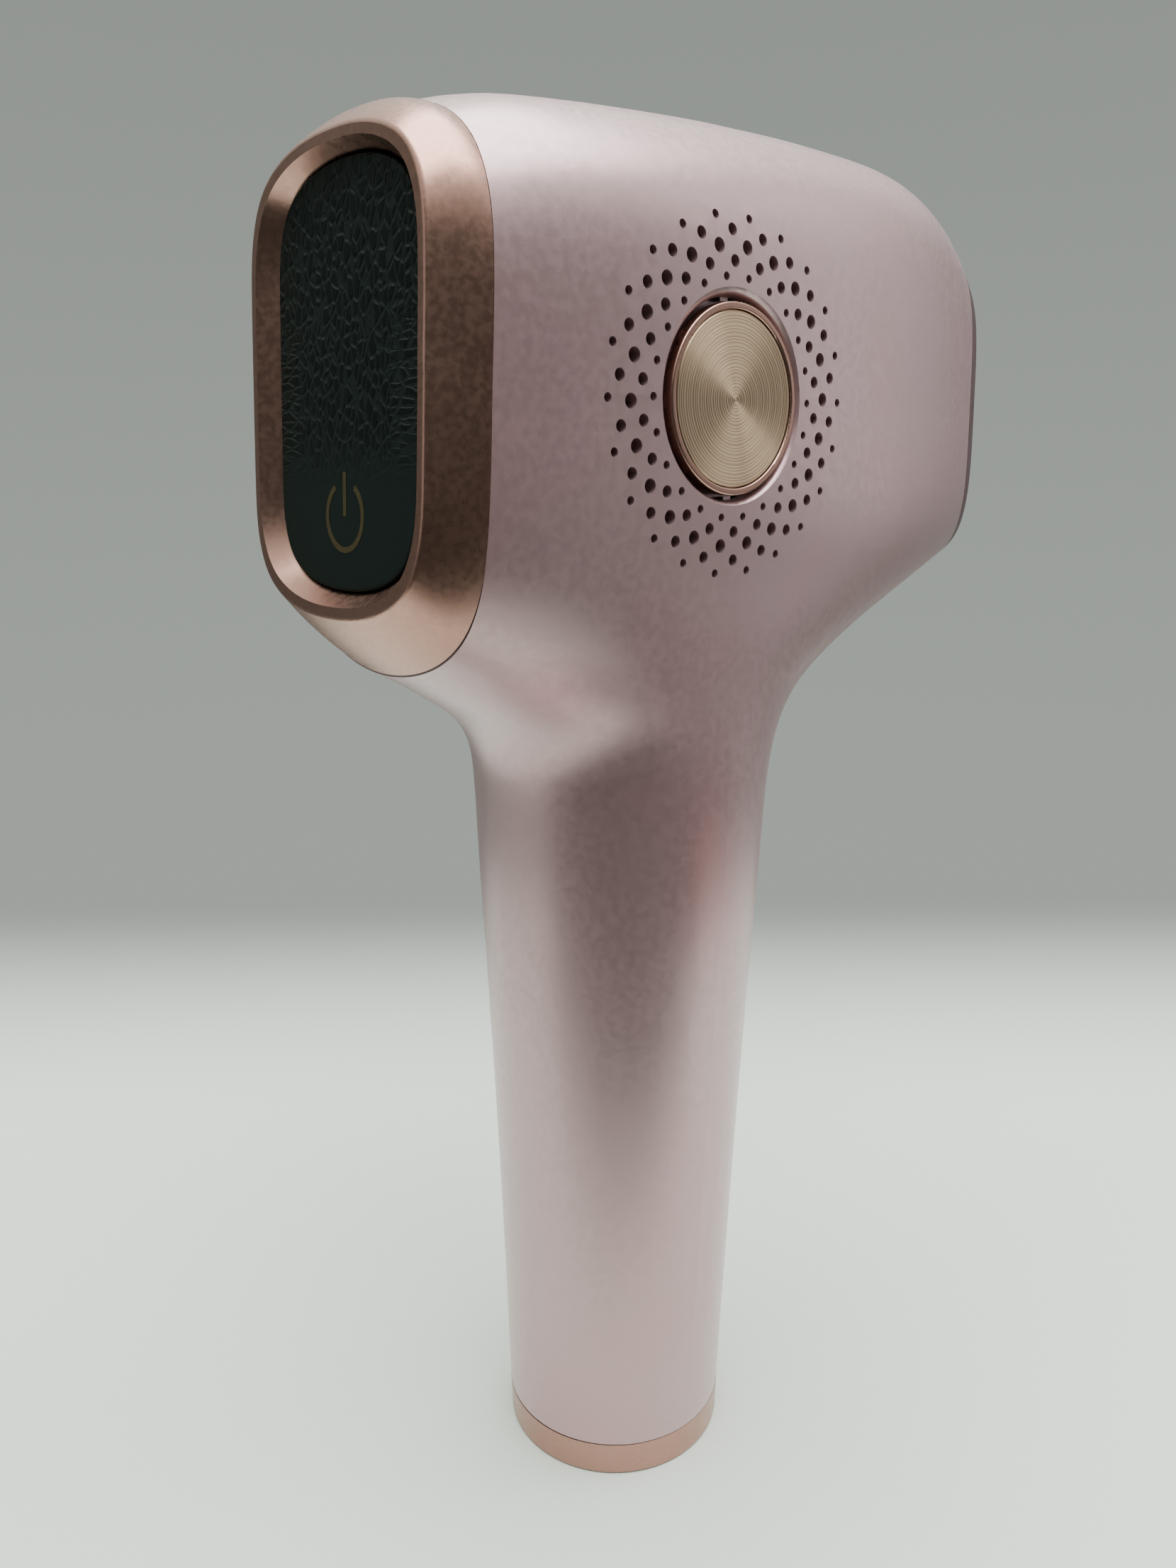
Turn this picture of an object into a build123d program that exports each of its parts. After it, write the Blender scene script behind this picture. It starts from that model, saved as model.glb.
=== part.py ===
"""IPL hair remover: a gun-shaped hand-held flash epilator, built as separate pieces.

Frame: origin at the centre of the base's bottom face, on the handle's axis. +Z runs up the handle,
+Y points out of the flash window, -Y out of the display, and the vented side faces are at +X and -X.
All sizes are in millimetres.
"""

import os
from math import atan, cos, pi, sin

from build123d import *

# ---------------------------------------------------------------- driving dimensions
HEAD_Z = 160.5            # height of the vent and fan axis above the base
VENT_Y = 1.0              # the vent and fan axis, seen from the side
WALL = 2.2                # thickness of the housing's moulded wall
CAP_HEIGHT = 5.6          # end cap at the bottom of the handle
CROWN_POWER = 4.7         # squareness of the head's section

DISPLAY_Y = -36.2         # seam between housing and display bezel, at the height of the vent axis
DISPLAY_SLOPE = 0.0574    # the display end leans back by this much per unit of height
FLASH_Y = 66.0            # outer face of the flash end, at the height of the vent axis
FLASH_SLOPE = -0.053      # the flash end leans back by this much per unit of height
FLASH_RIM = 1.8           # thickness of the flash frame's rim

# handle, neck and lower head: height, half width, front reach, back reach, squareness of the ends
BODY_STATIONS = [
    (CAP_HEIGHT, 17.3, -17.2, 17.1, 2.0),
    (40.0, 18.7, -17.6, 18.5, 2.05),
    (77.0, 20.6, -18.4, 20.0, 2.1),
    (98.0, 21.6, -19.1, 21.4, 2.15),
    (107.0, 21.7, -19.4, 22.2, 2.2),
    (113.3, 21.5, -20.3, 23.8, 2.3),
    (118.7, 21.3, -23.6, 27.4, 2.4),
    (124.0, 21.2, -31.6, 35.4, 2.5),
    (129.4, 21.2, -42.0, 48.5, 2.6),
    (135.0, 21.2, -59.0, 65.0, 2.6),
    (141.5, 21.4, -80.0, 82.0, 2.5),
    (150.0, 21.8, -94.0, 93.0, 2.2),
    (HEAD_Z, 22.0, -101.0, 99.0, 1.9),
]
# crown of the head: distance along the head, height above the vent axis
CROWN_STATIONS = [
    (-50.0, 25.5),
    (-40.0, 29.6),
    (-25.0, 33.9),
    (-8.0, 35.6),
    (12.0, 36.8),
    (29.0, 37.2),
    (42.0, 37.1),
    (51.5, 35.9),
    (58.0, 33.4),
    (62.5, 30.0),
    (66.0, 26.0),
    (70.0, 20.0),
]

# display end
# loops on the display: half width, half height, offset of the centre, squareness across and upward
SEAM_LOOP = (20.6, 32.1, -0.6, 2.0, 4.7)
SWELL_LOOP = (19.9, 29.8, 0.6, 2.1, 5.3)
RIDGE_LOOP = (18.9, 26.7, 1.0, 2.2, 6.0)
PANEL_LOOP = (15.0, 23.8, 1.3, 2.1, 7.0)
RIDGE_WIDTH = 1.3                   # flat top of the bezel's ridge
SEAM_GAP = 0.15                     # fine joint line between housing and bezel
SWELL_REACH = 4.4                   # where the bezel's outer wall swells
RIDGE_REACH = 7.6                   # how far the bezel's ridge stands out of the seam plane
PANEL_REACH = 5.8                   # how far the display's face stands out of the seam plane
ICON_Z = 146.7
ICON_RADIUS = 3.9
ICON_LINE = 0.7

# vents: five rings of holes round the side disc
VENT_COUNT = 22
VENT_RADII = [14.45, 16.2, 18.0, 19.8, 21.5]
VENT_HOLE_RADII = [0.52, 0.76, 0.9, 0.76, 0.55]
VENT_TURN = [0.2, 1.7, 2.1, 1.9, 1.0]      # small twist of each ring, in degrees

# side disc
DISC_RADIUS = 11.6
DISC_RIM = 1.4                      # thickness of the disc's rim, over a narrower neck
DISC_NECK = 10.4
OPENING_RADIUS = 12.2
SPOKE_COUNT = 8
SEAT_OUTER = 12.0
SEAT_INNER = 8.0
SEAT_X = 19.2                       # outer face of the seat ring
SEAT_THICKNESS = 1.7
SIDE_X = 22.0                       # outer face of the head at the vent axis
LIP_RADIUS = 1.6                    # the opening's rounded lip
VENT_CUT_X = 12.0                   # the side openings are cut from here outwards
VENT_CUT_DEPTH = 14.0
SPOKE_START = 11.75                 # spokes that hold the seat ring
SPOKE_END = 13.7

# flash button on the finger side of the handle
BUTTON_Z = 98.0
BUTTON_LENGTH = 19.0
BUTTON_WIDTH = 11.0
BUTTON_SLOT_Y = 14.0

# end cap
CAP_SCREW_X = 10.0
BOSS_Z = 9.4
CAP_RADIUS = 17.25
JACK_RADIUS = 4.2
JACK_BORE = 2.8                     # takes a 5.5 mm barrel plug
JACK_PIN = 1.0
JACK_DEPTH = 9.5

# display window
WINDOW_GAP = 0.25                   # dark gap round the display window
WINDOW_THICKNESS = 1.6
ICON_GAP = 33                       # half of the power symbol's opening, in degrees
ICON_DEPTH = 0.3
BOARD_REACH = 2.6                   # front face of the display board

INSERT_RADIUS = 10.6                # spun insert of the side disc

# fan
FAN_SIZE = 42.0
FAN_DEPTH = 10.0
FAN_BORE = 19.4
FAN_PITCH = 35.0
BEARING_RADIUS = 2.0
SHAFT_RADIUS = 1.0
ROTOR_HUB = 8.6
BLADE_TIP = 18.4
BLADE_COUNT = 7

# flash end
PLATE_HALF_X = 12.2
PLATE_HALF_Z = 20.5
GLASS_WIDTH = 13.0
GLASS_LENGTH = 31.0
SENSOR_PITCH = 37.5
HOLDER_WIDTH = 20.0
HOLDER_LENGTH = 38.0
HOLDER_DEPTH = 17.0
LAMP_RADIUS = 2.2
LAMP_LENGTH = 46.0
MOUTH_Y = 8.5                       # reflector's mouth, knee and back, from the lamp's axis
KNEE_Y = 2.5
BACK_Y = -4.2
REFLECTOR_HALF = 7.3
REFLECTOR_WALL = 0.8

# handle electronics and the flash switch
BOARD_Y = -9.8
CAPACITOR_Y = 3.4
CAPACITOR_RADIUS = 10.8
CAPACITOR_Z = 27.0
BUTTON_FACE_Y = 22.3
BUTTON_BACK_Y = 16.2
PLUNGER_TOP_Y = 14.0
SWITCH_FACE_Y = 13.0
SWITCH_BASE_Y = 9.6
SPRING_WIRE = 0.3


# ---------------------------------------------------------------- shared outlines
def body_half_width(y):
    """Half width of the head at its widest height, at distance y along it."""
    _, width, front, back, power = BODY_STATIONS[-1]
    reach = abs(y - (front + back) / 2) / ((back - front) / 2)
    return width * (1 - reach**power) ** 0.5


def oval_points(half_x, half_y, power_x=2.0, power_y=2.0, centre_y=0.0, count=32):
    """Points at even angles round a superellipse, for a periodic spline."""
    points = []
    for i in range(count):
        turn = 2 * pi * i / count
        short, long = 0.0, 2.0
        for _ in range(50):
            reach = (short + long) / 2
            if abs(reach * cos(turn)) ** power_x + abs(reach * sin(turn)) ** power_y > 1:
                long = reach
            else:
                short = reach
        points.append((half_x * reach * cos(turn), centre_y + half_y * reach * sin(turn)))
    return points


def display_plane(reach):
    """Plane parallel to the display, at a distance out of the housing's seam."""
    lean = atan(DISPLAY_SLOPE)
    seam = Plane(origin=(0, DISPLAY_Y, HEAD_Z), x_dir=(1, 0, 0), z_dir=(0, -cos(lean), sin(lean)))
    return seam.offset(reach)


def flash_plane(reach):
    """Plane parallel to the flash end, at a distance out of its outer face."""
    lean = atan(FLASH_SLOPE)
    face = Plane(origin=(0, FLASH_Y, HEAD_Z), x_dir=(-1, 0, 0), z_dir=(0, cos(lean), -sin(lean)))
    return face.offset(reach)


def between(stations, at):
    """Smooth value between stations (position, value, ...) by monotone cubic steps."""
    index = max(i for i, row in enumerate(stations[:-1]) if row[0] <= at + 1e-9)
    low, high = stations[index], stations[index + 1]
    span = high[0] - low[0]
    t = (at - low[0]) / span
    values = []
    for column in range(1, len(low)):
        slopes = []
        for knot in (index, index + 1):
            gradients = [
                (stations[i + 1][column] - stations[i][column]) / (stations[i + 1][0] - stations[i][0])
                for i in (knot - 1, knot)
                if 0 <= i < len(stations) - 1
            ]
            same_way = min(gradients) * max(gradients) > 0
            mean = 2 / sum(1 / g for g in gradients) if same_way and len(gradients) == 2 else 0.0
            slopes.append(gradients[0] if len(gradients) == 1 else mean)
        values.append(
            low[column] * (1 + 2 * t) * (1 - t) ** 2
            + high[column] * t * t * (3 - 2 * t)
            + slopes[0] * span * t * (1 - t) ** 2
            - slopes[1] * span * t * t * (1 - t)
        )
    return values


def spaced(start, end, count):
    """Evenly spaced values from start to end."""
    return [start + (end - start) * i / (count - 1) for i in range(count)]


def head_form(inset):
    """The neck, handle and lower head as one closed form, smaller than the outside by inset."""
    heights = spaced(CAP_HEIGHT, 100.0, 12) + spaced(104.5, HEAD_Z, 13)
    with BuildPart() as form:
        for height in heights:
            width, front, back, power = between(BODY_STATIONS, height)
            outline = oval_points(
                width - inset,
                (back - front) / 2 - inset,
                power_y=power,
                centre_y=(front + back) / 2,
            )
            with BuildSketch(Plane.XY.offset(height)):
                with BuildLine():
                    Spline(*outline, periodic=True)
                make_face()
        loft()
    return form.part


def crown_form(inset):
    """The rounded top of the head as a closed form, smaller than the outside by inset."""
    with BuildPart() as form:
        for y in spaced(CROWN_STATIONS[0][0], CROWN_STATIONS[-1][0], 21):
            (height,) = between(CROWN_STATIONS, y)
            outline = oval_points(body_half_width(y) - inset, height - inset, power_y=CROWN_POWER)
            with BuildSketch(Plane(origin=(0, y, HEAD_Z), x_dir=(1, 0, 0), z_dir=(0, -1, 0))):
                with BuildLine():
                    Spline(*outline, periodic=True)
                make_face()
        loft()
        split(bisect_by=Plane.XY.offset(HEAD_Z), keep=Keep.TOP)
    return form.part


def lamp_plane():
    """Plane across the lamp's axis at its middle; its local +Y points out of the flash end."""
    face = flash_plane(-14.0)
    return Plane(origin=face.origin, x_dir=-face.x_dir, z_dir=face.y_dir)


def body_form(inset):
    """Handle, neck and head in one, smaller than the outside by inset."""
    return head_form(inset).fuse(crown_form(inset), tol=0.001)


def display_loop(loop, grow):
    """Points of a loop on the display plane, grown outwards all round."""
    half_x, half_y, centre, power_x, power_y = loop
    return oval_points(half_x + grow, half_y + grow, power_x, power_y, centre)


outer_body = body_form(0)
inner_body = body_form(WALL)
LAMP_PLANE = lamp_plane()
os.makedirs("parts", exist_ok=True)


# ---------------------------------------------------------------- housing
with BuildPart() as side_openings:
    for side in (-1, 1):
        # disc opening with its rounded lip
        with BuildSketch(Plane.YZ.offset(side * VENT_CUT_X)):
            with Locations((VENT_Y, HEAD_Z)):
                Circle(OPENING_RADIUS)
        extrude(amount=side * VENT_CUT_DEPTH)
        lip_start = SIDE_X - LIP_RADIUS
        lip_middle = LIP_RADIUS * 0.5**0.5
        lip_edge = OPENING_RADIUS + LIP_RADIUS
        with BuildSketch(Plane(origin=(0, VENT_Y, HEAD_Z), x_dir=(side, 0, 0), z_dir=(0, -1, 0))):
            with BuildLine():
                Line((lip_start, 0), (lip_start, OPENING_RADIUS))
                ThreePointArc(
                    (lip_start, OPENING_RADIUS),
                    (lip_start + lip_middle, lip_edge - lip_middle),
                    (SIDE_X, lip_edge),
                )
                Polyline((SIDE_X, lip_edge), (SIDE_X + 1, lip_edge), (SIDE_X + 1, 0), (lip_start, 0))
            make_face()
        revolve(axis=Axis((0, VENT_Y, HEAD_Z), (1, 0, 0)))
        # rings of vent holes
        for ring, (ring_radius, hole_radius) in enumerate(zip(VENT_RADII, VENT_HOLE_RADII)):
            first = VENT_TURN[ring] + ring * 180 / VENT_COUNT
            with BuildSketch(Plane.YZ.offset(side * VENT_CUT_X)):
                with Locations((VENT_Y, HEAD_Z)):
                    with PolarLocations(ring_radius, VENT_COUNT, start_angle=first):
                        Circle(hole_radius)
            extrude(amount=side * VENT_CUT_DEPTH)

with BuildPart() as main_housing:
    add(outer_body)
    # open ends: display seam and flash end
    with BuildSketch(display_plane(0)):
        Rectangle(260, 260)
    extrude(amount=120, mode=Mode.SUBTRACT)
    with BuildSketch(flash_plane(-FLASH_RIM)):
        Rectangle(260, 260)
    extrude(amount=120, mode=Mode.SUBTRACT)
    add(inner_body, mode=Mode.SUBTRACT)
    add(side_openings.part, mode=Mode.SUBTRACT)
    # slot for the flash button on the finger side of the handle
    with BuildSketch(Plane.XZ.offset(-BUTTON_SLOT_Y)):
        with Locations((0, BUTTON_Z)):
            SlotOverall(BUTTON_LENGTH, BUTTON_WIDTH, rotation=90)
    extrude(amount=-20, mode=Mode.SUBTRACT)
    # spider that carries the side disc: a seat ring on eight spokes, on each side
    for side in (-1, 1):
        with BuildSketch(Plane.YZ.offset(side * SEAT_X)):
            with Locations((VENT_Y, HEAD_Z)):
                Circle(SEAT_OUTER)
                Circle(SEAT_INNER, mode=Mode.SUBTRACT)
        extrude(amount=-side * SEAT_THICKNESS)
        with BuildSketch(Plane.YZ.offset(side * (SEAT_X + 0.9))):
            with Locations((VENT_Y, HEAD_Z)):
                with PolarLocations((SPOKE_START + SPOKE_END) / 2, SPOKE_COUNT, start_angle=3):
                    Rectangle(SPOKE_END - SPOKE_START, 1.4)
        extrude(amount=-side * 1.5)
    # bosses for the end cap's screws
    for side in (-1, 1):
        with BuildSketch(Plane.XY.offset(BOSS_Z)):
            with Locations((side * CAP_SCREW_X, 0)):
                Circle(2.8)
            with Locations((side * (CAP_SCREW_X + 3.0), 0)):
                Rectangle(6.0, 1.6)
        extrude(amount=10)
        with BuildSketch(Plane.XY.offset(BOSS_Z)):
            with Locations((side * CAP_SCREW_X, 0)):
                Circle(1.1)
        extrude(amount=8, mode=Mode.SUBTRACT)
main_housing.part.label = "main_housing"
export_step(main_housing.part, "parts/main_housing.step")


# ---------------------------------------------------------------- display end
with BuildPart() as bezel_frame:
    for loop, reach in ((SEAM_LOOP, SEAM_GAP), (SWELL_LOOP, SWELL_REACH), (RIDGE_LOOP, RIDGE_REACH)):
        with BuildSketch(display_plane(reach)):
            with BuildLine():
                Spline(*display_loop(loop, 0), periodic=True)
            make_face()
    loft()
    fillet(bezel_frame.faces().sort_by(Axis.Y)[0].edges(), radius=0.7)
    # pocket behind the face, for the display board
    for loop, reach, grow in ((SEAM_LOOP, 0.0, -2.4), (RIDGE_LOOP, 3.2, -1.6)):
        with BuildSketch(display_plane(reach)):
            with BuildLine():
                Spline(*display_loop(loop, grow), periodic=True)
            make_face()
    loft(mode=Mode.SUBTRACT)
    # bevel from the ridge down to the window
    bevel = ((PANEL_LOOP, PANEL_REACH - 0.5, WINDOW_GAP), (RIDGE_LOOP, RIDGE_REACH + 0.05, -RIDGE_WIDTH))
    for loop, reach, grow in bevel:
        with BuildSketch(display_plane(reach)):
            with BuildLine():
                Spline(*display_loop(loop, grow), periodic=True)
            make_face()
    loft(mode=Mode.SUBTRACT)
    # window opening
    with BuildSketch(display_plane(0)):
        with BuildLine():
            Spline(*display_loop(PANEL_LOOP, WINDOW_GAP), periodic=True)
        make_face()
    extrude(amount=PANEL_REACH, mode=Mode.SUBTRACT)
    # spigot that plugs into the housing
    with BuildSketch(display_plane(SEAM_GAP)):
        with BuildLine():
            Spline(*display_loop(SEAM_LOOP, -2.9), periodic=True)
        make_face()
        with BuildLine():
            Spline(*display_loop(SEAM_LOOP, -4.2), periodic=True)
        make_face(mode=Mode.SUBTRACT)
    extrude(amount=-5)
    with BuildSketch(display_plane(SEAM_GAP)):
        with BuildLine():
            Spline(*display_loop(SEAM_LOOP, -0.9), periodic=True)
        make_face()
        with BuildLine():
            Spline(*display_loop(SEAM_LOOP, -3.6), periodic=True)
        make_face(mode=Mode.SUBTRACT)
    extrude(amount=1.0)
bezel_frame.part.label = "bezel_frame"
export_step(bezel_frame.part, "parts/bezel_frame.step")

with BuildPart() as display_window:
    with BuildSketch(display_plane(PANEL_REACH)):
        with BuildLine():
            Spline(*display_loop(PANEL_LOOP, 0.0), periodic=True)
        make_face()
    extrude(amount=-WINDOW_THICKNESS)
    fillet(display_window.faces().sort_by(Axis.Y)[0].edges(), radius=0.3)
    # shallow pocket for the power symbol
    with BuildSketch(display_plane(PANEL_REACH)):
        with BuildLine():
            CenterArc((0, ICON_Z - HEAD_Z), ICON_RADIUS, 90 + ICON_GAP, 360 - 2 * ICON_GAP)
        trace(line_width=ICON_LINE)
        with BuildLine():
            Line((0, ICON_Z - HEAD_Z), (0, ICON_Z - HEAD_Z + 1.3 * ICON_RADIUS))
        trace(line_width=ICON_LINE)
    extrude(amount=-ICON_DEPTH, mode=Mode.SUBTRACT)
display_window.part.label = "display_window"
export_step(display_window.part, "parts/display_window.step")

with BuildPart() as power_icon:
    with BuildSketch(display_plane(PANEL_REACH - ICON_DEPTH)):
        with BuildLine():
            CenterArc((0, ICON_Z - HEAD_Z), ICON_RADIUS, 90 + ICON_GAP, 360 - 2 * ICON_GAP)
        trace(line_width=ICON_LINE)
        with BuildLine():
            Line((0, ICON_Z - HEAD_Z), (0, ICON_Z - HEAD_Z + 1.3 * ICON_RADIUS))
        trace(line_width=ICON_LINE)
    extrude(amount=ICON_DEPTH + 0.04)
power_icon.part.label = "power_icon"
export_step(power_icon.part, "parts/power_icon.step")

with BuildPart() as display_board:
    with BuildSketch(display_plane(BOARD_REACH)):
        with BuildLine():
            Spline(*display_loop(PANEL_LOOP, -1.2), periodic=True)
        make_face()
    extrude(amount=-1.2)
display_board.part.label = "display_board"
export_step(display_board.part, "parts/display_board.step")

with BuildPart() as display_leds:
    with BuildSketch(display_plane(BOARD_REACH)):
        with Locations((0, 9.0)):
            Rectangle(16.0, 10.0)
        with Locations((0, -3.0)):
            with GridLocations(3.4, 1, 5, 1):
                Rectangle(1.6, 0.9)
    extrude(amount=1.0)
display_leds.part.label = "display_leds"
export_step(display_leds.part, "parts/display_leds.step")

# touch spring: presses on the back of the window behind the power symbol
touch_base = display_plane(BOARD_REACH)
touch_path = Helix(
    pitch=0.55,
    height=1.2,
    radius=2.2,
    center=touch_base.from_local_coords((0, ICON_Z - HEAD_Z, 0.25)),
    direction=touch_base.z_dir,
)
with BuildPart() as touch_spring:
    with BuildSketch(Plane(origin=touch_path @ 0, z_dir=touch_path % 0)):
        Circle(0.2)
    sweep(path=touch_path, is_frenet=True)
touch_spring.part.label = "touch_spring"
export_step(touch_spring.part, "parts/touch_spring.step")


# ---------------------------------------------------------------- side discs and vent filters
for side, name in ((1, "right"), (-1, "left")):
    with BuildPart() as disc_ring:
        with BuildSketch(Plane.YZ.offset(side * SEAT_X)):
            with Locations((VENT_Y, HEAD_Z)):
                Circle(DISC_NECK)
        extrude(amount=side * (SIDE_X - SEAT_X))
        with BuildSketch(Plane.YZ.offset(side * (SIDE_X - DISC_RIM))):
            with Locations((VENT_Y, HEAD_Z)):
                Circle(DISC_RADIUS)
        extrude(amount=side * DISC_RIM)
        with BuildSketch(Plane.YZ.offset(side * SIDE_X)):
            with Locations((VENT_Y, HEAD_Z)):
                Circle(INSERT_RADIUS + 0.12)
        extrude(amount=-side * 0.9, mode=Mode.SUBTRACT)
        fillet(disc_ring.faces().sort_by(Axis.X)[-1 if side > 0 else 0].edges(), radius=0.25)
    disc_ring.part.label = f"disc_ring_{name}"
    export_step(disc_ring.part, f"parts/disc_ring_{name}.step")

    with BuildPart() as disc_insert:
        with BuildSketch(Plane.YZ.offset(side * (SIDE_X - 0.9))):
            with Locations((VENT_Y, HEAD_Z)):
                Circle(INSERT_RADIUS)
        extrude(amount=side * 0.75)
        chamfer(disc_insert.faces().sort_by(Axis.X)[-1 if side > 0 else 0].edges(), length=0.15)
    disc_insert.part.label = f"disc_insert_{name}"
    export_step(disc_insert.part, f"parts/disc_insert_{name}.step")

    with BuildPart() as vent_filter:
        with BuildSketch(Plane.YZ.offset(side * 16.6)):
            with Locations((VENT_Y, HEAD_Z)):
                Circle(22.4)
                Circle(12.6, mode=Mode.SUBTRACT)
        extrude(amount=-side * 0.6)
    vent_filter.part.label = f"vent_filter_{name}"
    export_step(vent_filter.part, f"parts/vent_filter_{name}.step")


# ---------------------------------------------------------------- fan
with BuildPart() as fan_frame:
    with BuildSketch(Plane.YZ.offset(-FAN_DEPTH / 2)):
        with Locations((VENT_Y, HEAD_Z)):
            RectangleRounded(FAN_SIZE, FAN_SIZE, 3.0)
            Circle(FAN_BORE, mode=Mode.SUBTRACT)
            with GridLocations(FAN_PITCH, FAN_PITCH, 2, 2):
                Circle(1.7, mode=Mode.SUBTRACT)
    extrude(amount=FAN_DEPTH)
    # motor base on three struts, with the bearing's tube
    with BuildSketch(Plane.YZ.offset(-FAN_DEPTH / 2)):
        with Locations((VENT_Y, HEAD_Z)):
            Circle(8.0)
            with PolarLocations((FAN_BORE + 8.0) / 2, 3, start_angle=30):
                Rectangle(FAN_BORE - 8.0 + 1.5, 2.0)
    extrude(amount=1.3)
    with BuildSketch(Plane.YZ.offset(-FAN_DEPTH / 2)):
        with Locations((VENT_Y, HEAD_Z)):
            Circle(3.0)
    extrude(amount=7.0)
    with BuildSketch(Plane.YZ.offset(-FAN_DEPTH / 2 + 0.6)):
        with Locations((VENT_Y, HEAD_Z)):
            Circle(BEARING_RADIUS)
    extrude(amount=8.0, mode=Mode.SUBTRACT)
fan_frame.part.label = "fan_frame"
export_step(fan_frame.part, "parts/fan_frame.step")

with BuildPart() as fan_bearing:
    with BuildSketch(Plane.YZ.offset(-FAN_DEPTH / 2 + 0.6)):
        with Locations((VENT_Y, HEAD_Z)):
            Circle(BEARING_RADIUS)
            Circle(SHAFT_RADIUS + 0.03, mode=Mode.SUBTRACT)
    extrude(amount=6.4)
fan_bearing.part.label = "fan_bearing"
export_step(fan_bearing.part, "parts/fan_bearing.step")

with BuildPart() as fan_stator:
    with BuildSketch(Plane.YZ.offset(-FAN_DEPTH / 2 + 1.5)):
        with Locations((VENT_Y, HEAD_Z)):
            Circle(4.4)
            with PolarLocations(5.3, 4):
                Rectangle(2.6, 1.8)
            with PolarLocations(6.5, 4):
                Rectangle(0.9, 5.0)
            Circle(3.0, mode=Mode.SUBTRACT)
    extrude(amount=4.5)
fan_stator.part.label = "fan_stator"
export_step(fan_stator.part, "parts/fan_stator.step")

with BuildPart() as fan_rotor:
    with BuildSketch(Plane.YZ.offset(3.0)):
        with Locations((VENT_Y, HEAD_Z)):
            Circle(ROTOR_HUB)
            Circle(SHAFT_RADIUS, mode=Mode.SUBTRACT)
    extrude(amount=1.2)
    with BuildSketch(Plane.YZ.offset(-3.0)):
        with Locations((VENT_Y, HEAD_Z)):
            Circle(ROTOR_HUB)
            Circle(ROTOR_HUB - 1.0, mode=Mode.SUBTRACT)
    extrude(amount=6.2)
    blade_length = BLADE_TIP - ROTOR_HUB + 0.5
    for blade in range(BLADE_COUNT):
        turn = Location((0, VENT_Y, HEAD_Z), (360 * blade / BLADE_COUNT, 0, 0))
        pitched = Location((0, 0, ROTOR_HUB - 0.5 + blade_length / 2), (0, 0, 38))
        with Locations(turn * pitched):
            Box(7.4, 0.8, blade_length)
fan_rotor.part.label = "fan_rotor"
export_step(fan_rotor.part, "parts/fan_rotor.step")

with BuildPart() as fan_shaft:
    with BuildSketch(Plane.YZ.offset(-FAN_DEPTH / 2 + 0.8)):
        with Locations((VENT_Y, HEAD_Z)):
            Circle(SHAFT_RADIUS)
    extrude(amount=FAN_DEPTH / 2 - 0.8 + 4.2)
fan_shaft.part.label = "fan_shaft"
export_step(fan_shaft.part, "parts/fan_shaft.step")

with BuildPart() as inner_frame:
    with BuildSketch(Plane.YZ.offset(-FAN_DEPTH / 2 - 2.0)):
        with Locations((VENT_Y + 2.0, HEAD_Z)):
            RectangleRounded(50.0, 46.0, 4.0)
        with Locations((VENT_Y, HEAD_Z)):
            Circle(FAN_BORE, mode=Mode.SUBTRACT)
            with GridLocations(FAN_PITCH, FAN_PITCH, 2, 2):
                Circle(1.7, mode=Mode.SUBTRACT)
    extrude(amount=2.0)
inner_frame.part.label = "inner_frame"
export_step(inner_frame.part, "parts/inner_frame.step")

with BuildPart() as fan_screws:
    with BuildSketch(Plane.YZ.offset(FAN_DEPTH / 2)):
        with Locations((VENT_Y, HEAD_Z)):
            with GridLocations(FAN_PITCH, FAN_PITCH, 2, 2):
                Circle(2.7)
    extrude(amount=1.6)
    with BuildSketch(Plane.YZ.offset(FAN_DEPTH / 2)):
        with Locations((VENT_Y, HEAD_Z)):
            with GridLocations(FAN_PITCH, FAN_PITCH, 2, 2):
                Circle(1.5)
    extrude(amount=-FAN_DEPTH - 3.0)
    with BuildSketch(Plane.YZ.offset(FAN_DEPTH / 2 + 1.6)):
        with Locations((VENT_Y, HEAD_Z)):
            with GridLocations(FAN_PITCH, FAN_PITCH, 2, 2):
                Rectangle(3.2, 0.6)
                Rectangle(0.6, 3.2)
    extrude(amount=-0.9, mode=Mode.SUBTRACT)
fan_screws.part.label = "fan_screws"
export_step(fan_screws.part, "parts/fan_screws.step")


# ---------------------------------------------------------------- flash end
with BuildPart() as flash_frame:
    add(outer_body)
    with BuildSketch(flash_plane(0)):
        Rectangle(260, 260)
    extrude(amount=120, mode=Mode.SUBTRACT)
    with BuildSketch(flash_plane(-FLASH_RIM + 0.12)):
        Rectangle(260, 420)
    extrude(amount=-260, mode=Mode.SUBTRACT)
    with BuildSketch(flash_plane(0)):
        with BuildLine():
            Spline(*oval_points(PLATE_HALF_X, PLATE_HALF_Z, 2.6, 3.4), periodic=True)
        make_face()
    extrude(amount=-FLASH_RIM, mode=Mode.SUBTRACT)
    # spigot that plugs into the housing
    with BuildSketch(flash_plane(-FLASH_RIM + 0.5)):
        with BuildLine():
            Spline(*oval_points(PLATE_HALF_X + 1.1, PLATE_HALF_Z + 1.1, 2.6, 3.4), periodic=True)
        make_face()
        with BuildLine():
            Spline(*oval_points(PLATE_HALF_X, PLATE_HALF_Z, 2.6, 3.4), periodic=True)
        make_face(mode=Mode.SUBTRACT)
    extrude(amount=-3.0)
flash_frame.part.label = "flash_frame"
export_step(flash_frame.part, "parts/flash_frame.step")

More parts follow.
